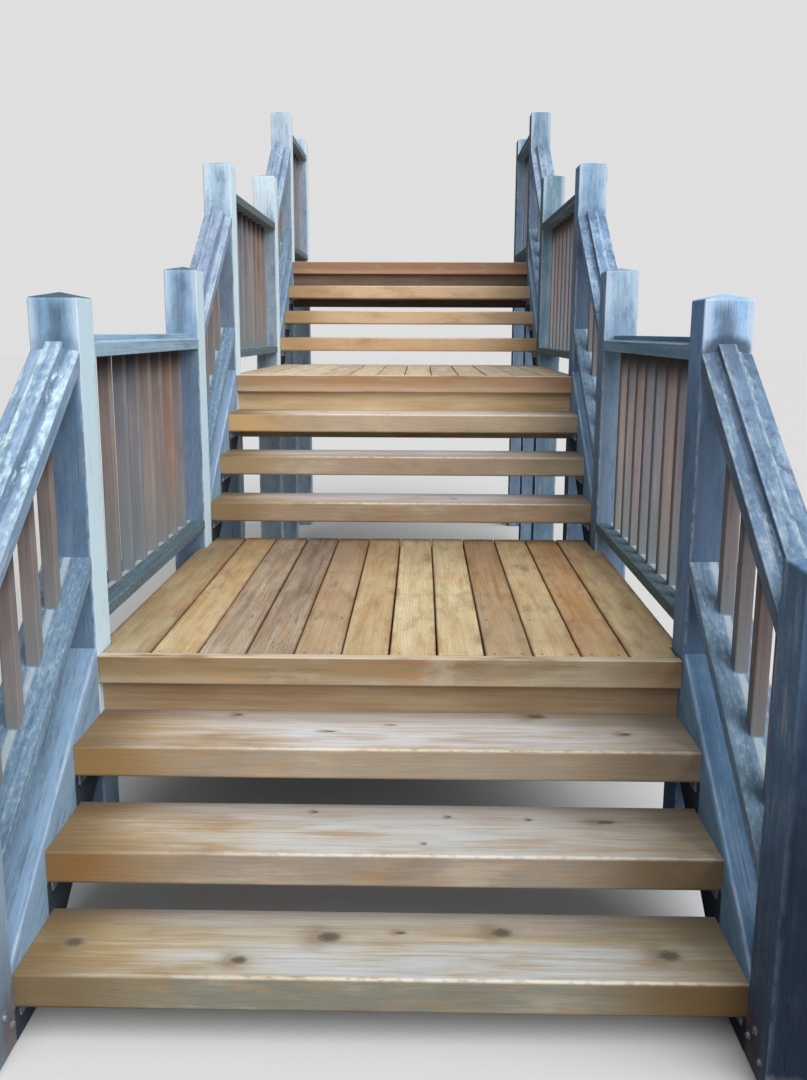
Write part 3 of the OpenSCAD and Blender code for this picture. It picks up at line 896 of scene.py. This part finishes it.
def baluster_cedar(name, front, back, steepness, rail_top, tall, lower):
    """Balusters between front and back, each with its own brown or grey, painted dark under the handrail as
    painted shade, and green grey at the foot; the lower rail's top is painted paler along its middle as
    painted light. Lower holds the lower rail's three tones, rail_top is the height of its top where y is 0,
    steepness is its rise for each metre of y, and tall is how far they stand over it."""
    finish, spot = begin(name)
    x, y, z = split(spot)
    over = minus(plus(z, y, -steepness), rail_top)
    count = math.ceil((back - front - widest_gap) / (baluster_w + widest_gap))
    space = (back - front - count * baluster_w) / (count + 1)
    number = calc("FLOOR", calc("DIVIDE", minus(y, front + space / 2), space + baluster_w))
    number = plus(number, calc("SIGN", x), 0.37)
    chance = plus(len(name), number, 1.7)
    which = add(finish.node_tree, "TexWhiteNoise", [None, chance], noise_dimensions="1D")
    upright = figure(spot, (0.011, 0.011, 0.4), 4.0, 0.55, 0.2)
    cloud = figure(spot, (0.08, 0.08, 0.25), 4.0)
    colour = shades(which, (0.0, tone(130, 114, 112)), (0.3, tone(156, 144, 140)),
                    (0.55, tone(140, 130, 132)), (0.8, tone(132, 136, 146)), (1.0, tone(156, 130, 116)))
    shade = mixture((upright, 0.5), (cloud, 0.5))
    colour = stain(colour, tone(80, 76, 80), 0.35, fade(shade, 0.5, 0.34))
    colour = stain(colour, tone(184, 174, 170), 0.35, fade(shade, 0.5, 0.66))
    green = fade(plus(over, cloud, 0.3), 0.2 + tall * 0.45, 0.12)
    colour = stain(colour, tone(126, 140, 142), 0.6, green)
    # Painted shade: dark under the handrail.
    under = fade(plus(over, cloud, 0.06), tall - 0.09, tall + 0.02)
    colour = stain(colour, tone(52, 44, 44), 0.82, under)
    laid = slanted(spot) if steepness else spot
    lying = figure(laid, (0.014, 0.45, 0.014), 4.0, 0.55, 0.3)
    mottle = figure(laid, (0.009, 0.024, 0.009), 5.0, 0.65)
    rail = shades(mixture((lying, 0.5), (mottle, 0.5)), (0.32, lower[0]), (0.5, lower[1]), (0.68, lower[2]))
    rail = stain(rail, LICHEN, 0.3 if steepness else 0.1, fade(mottle, 0.54, 0.7))
    # Painted light: the lower rail's top is paler along its middle.
    lit_strip = fade(apart(calc("ABSOLUTE", x), post_line), 0.014, 0.006)
    rail = stain(rail, tone(204, 218, 222), 0.6, lit_strip, fade(facing(spot), 0.5, 0.9))
    colour = stain(colour, rail, fade(over, 0.003, 0.001))
    return end(finish, colour, mixture((upright, 0.6), (mottle, 0.4)))


sloping_silver = (tone(84, 106, 128), tone(116, 144, 170), tone(152, 178, 196))
level_silver = (tone(74, 92, 102), tone(90, 110, 121), tone(116, 136, 142))
for i in (1, 2, 3):
    for place, steepness, silver in (("flight", slope, sloping_silver), ("landing", 0.0, level_silver)):
        low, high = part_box(f"{place}_{i}_balusters")
        rail_deep = lower_rail_t * math.hypot(1, steepness)
        rail_top = low.z - steepness * low.y + rail_deep
        tall = high.z - low.z - steepness * (high.y - low.y) - rail_deep
        ease(f"{place}_{i}_balusters", 0.003, 2)
        cedar_name = f"{place}_{i}_baluster_cedar"
        cedar = baluster_cedar(cedar_name, low.y, high.y, steepness, rail_top, tall, silver)
        finish_node(f"{place}_{i}_balusters", cedar)

# The studio: a pale floor and backdrop, a broad soft light over the foot of the stairs,
# and the camera where the stairs were seen from.
pale_floor, spot = begin("pale_floor")
seen = shades(figure(spot, (2.0, 2.0, 2.0)), (0.0, tone(214, 214, 214)), (1.0, tone(218, 218, 218)))
by_eye = add(pale_floor.node_tree, "LightPath")
grit = figure(spot, (0.02, 0.02, 0.02))
end(pale_floor, stain(tone(120, 120, 120), seen, by_eye), grit, 0.0001, 0.2, 0.9)
square = bmesh.new()
bmesh.ops.create_grid(square, x_segments=1, y_segments=1, size=60)
data = bpy.data.meshes.new("floor")
square.to_mesh(data)
square.free()
data.materials.append(pale_floor)
floor = bpy.data.objects.new("floor", data)
bpy.context.scene.collection.objects.link(floor)
floor.location.z = -0.0005

studio = bpy.data.worlds.new("studio")
bpy.context.scene.world = studio
studio.use_nodes = True
room = studio.node_tree
lean = add(room, "VectorMath", [add(room, "TexCoord"), (0.45, -0.2, 0.0)], 1, operation="DOT_PRODUCT")
glow = calc("MAXIMUM", calc("ADD", lean, 0.4), 0.0)
strength = add(room, "Mix", [add(room, "LightPath"), None, glow, 0.74], data_type="FLOAT")
backdrop = room.nodes["Background"]
backdrop.inputs["Color"].default_value = (1.0, 1.0, 1.0, 1.0)
room.links.new(strength, backdrop.inputs["Strength"])

soft = bpy.data.lights.new("soft_key", "SUN")
soft.energy, soft.angle = 3.0, math.radians(70)
key = bpy.data.objects.new("soft_key", soft)
bpy.context.scene.collection.objects.link(key)
key.rotation_mode = "QUATERNION"
key.rotation_quaternion = Vector((-0.45, 0.85, -1.0)).to_track_quat("-Z", "Y")

eye_back, eye_side, eye_high = 2.157, 0.090, 1.671
eye = bpy.data.cameras.new("eye")
eye.lens, eye.sensor_width = 34.29, 36.0
eye.clip_end = 200
camera = bpy.data.objects.new("eye", eye)
bpy.context.scene.collection.objects.link(camera)
camera.location = (eye_side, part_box("flight_1_tread_1")[0].y - eye_back, eye_high)
down, turned, roll = math.radians(11.459), math.radians(-0.941), math.radians(0.228)
ahead = Vector((math.sin(turned) * math.cos(down), math.cos(turned) * math.cos(down), -math.sin(down)))
level = Vector((math.cos(turned), -math.sin(turned), 0.0))
upward = level.cross(ahead)
right = math.cos(roll) * level + math.sin(roll) * upward
above = math.cos(roll) * upward - math.sin(roll) * level
camera.rotation_mode = "QUATERNION"
camera.rotation_quaternion = Matrix((right, above, -ahead)).transposed().to_quaternion()
bpy.context.scene.camera = camera
bpy.context.scene.view_settings.view_transform = "Standard"

bpy.context.view_layer.update()
